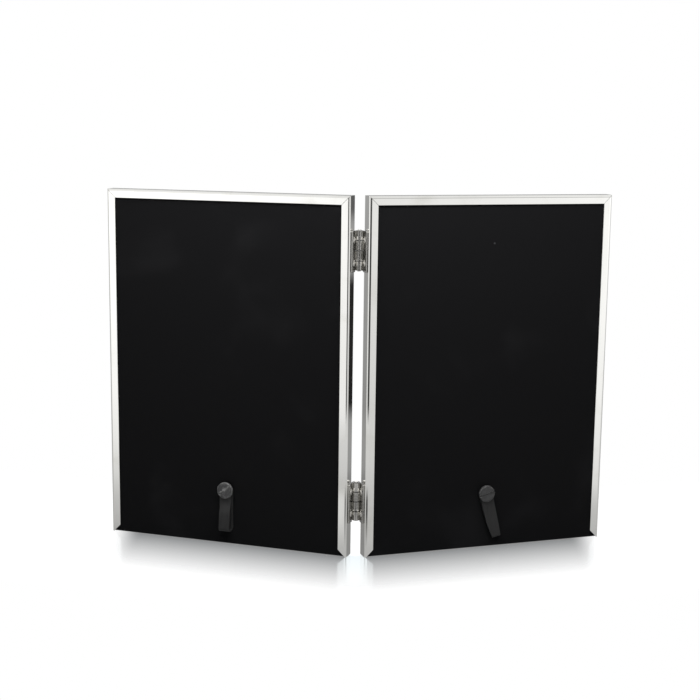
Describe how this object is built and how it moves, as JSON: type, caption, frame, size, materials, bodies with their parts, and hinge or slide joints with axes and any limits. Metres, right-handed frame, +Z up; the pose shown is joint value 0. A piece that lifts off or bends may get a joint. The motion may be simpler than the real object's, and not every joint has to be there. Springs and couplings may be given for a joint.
{
  "type": "hinged double photo frame",
  "caption": "Hinged double photo frame of slim polished metal channels standing in an open V, with black sliding backs drawn by strap loops.",
  "frame": {"origin": "bottom centre of the box around the pair as it stands in its open V", "axes": "+Z up; the hinged edge and the black backs face -Y, the glass sides face +Y; X runs from the left frame to the right frame as seen from behind"},
  "size_m": [0.2608, 0.0478, 0.1834],
  "materials": {
    "polished_silver": "polished",
    "clear_glass": "clear",
    "insert_paper": "satin",
    "filler_card": "matte",
    "board": "pressed fibre",
    "black_facing": "satin",
    "black_screw": "semi-gloss",
    "strap_leather": "smooth",
    "hinge_nickel": "dark nickel",
    "rivet_steel": "polished"
  },
  "bodies": {
    "left_frame": {"left_hinge_stile": "polished_silver", "left_outer_stile": "polished_silver", "left_top_rail": "polished_silver", "left_bottom_rail": "polished_silver", "left_glass": "clear_glass", "left_photo_insert": "insert_paper", "left_filler_card": "filler_card", "upper_hinge_left_leaf": "hinge_nickel", "upper_hinge_left_rivets": "rivet_steel", "upper_hinge_pin": "rivet_steel", "lower_hinge_left_leaf": "hinge_nickel", "lower_hinge_left_rivets": "rivet_steel", "lower_hinge_pin": "rivet_steel"},
    "right_frame": {"right_hinge_stile": "polished_silver", "right_outer_stile": "polished_silver", "right_top_rail": "polished_silver", "right_bottom_rail": "polished_silver", "right_glass": "clear_glass", "right_photo_insert": "insert_paper", "right_filler_card": "filler_card", "upper_hinge_right_leaf": "hinge_nickel", "upper_hinge_right_rivets": "rivet_steel", "lower_hinge_right_leaf": "hinge_nickel", "lower_hinge_right_rivets": "rivet_steel"},
    "left_back": {"left_back_board": "board", "left_back_facing": "black_facing", "left_tab_screw": "black_screw", "left_tab_post": "black_screw"},
    "left_loop": {"left_pull_loop": "strap_leather"},
    "right_back": {"right_back_board": "board", "right_back_facing": "black_facing", "right_tab_screw": "black_screw", "right_tab_post": "black_screw"},
    "right_loop": {"right_pull_loop": "strap_leather"}
  },
  "joints": [
    {"name": "frame_hinge", "type": "hinge", "parent": "left_frame", "child": "right_frame", "pos_m": [0, -0.01708, 0.0917], "axis": [0, 0, 1], "range_deg": [-56, 144]},
    {"name": "left_back_slide", "type": "slide", "parent": "left_frame", "child": "left_back", "axis": [0, 0, -1], "range_m": [0, 0.184]},
    {"name": "left_loop_swivel", "type": "hinge", "parent": "left_back", "child": "left_loop", "pos_m": [-0.06736, -0.00271, 0.0292], "axis": [-0.309, -0.9511, 0], "continuous": true},
    {"name": "right_back_slide", "type": "slide", "parent": "right_frame", "child": "right_back", "axis": [0, 0, -1], "range_m": [0, 0.184]},
    {"name": "right_loop_swivel", "type": "hinge", "parent": "right_back", "child": "right_loop", "pos_m": [0.06736, -0.00271, 0.0292], "axis": [0.309, -0.9511, 0], "continuous": true}
  ]
}
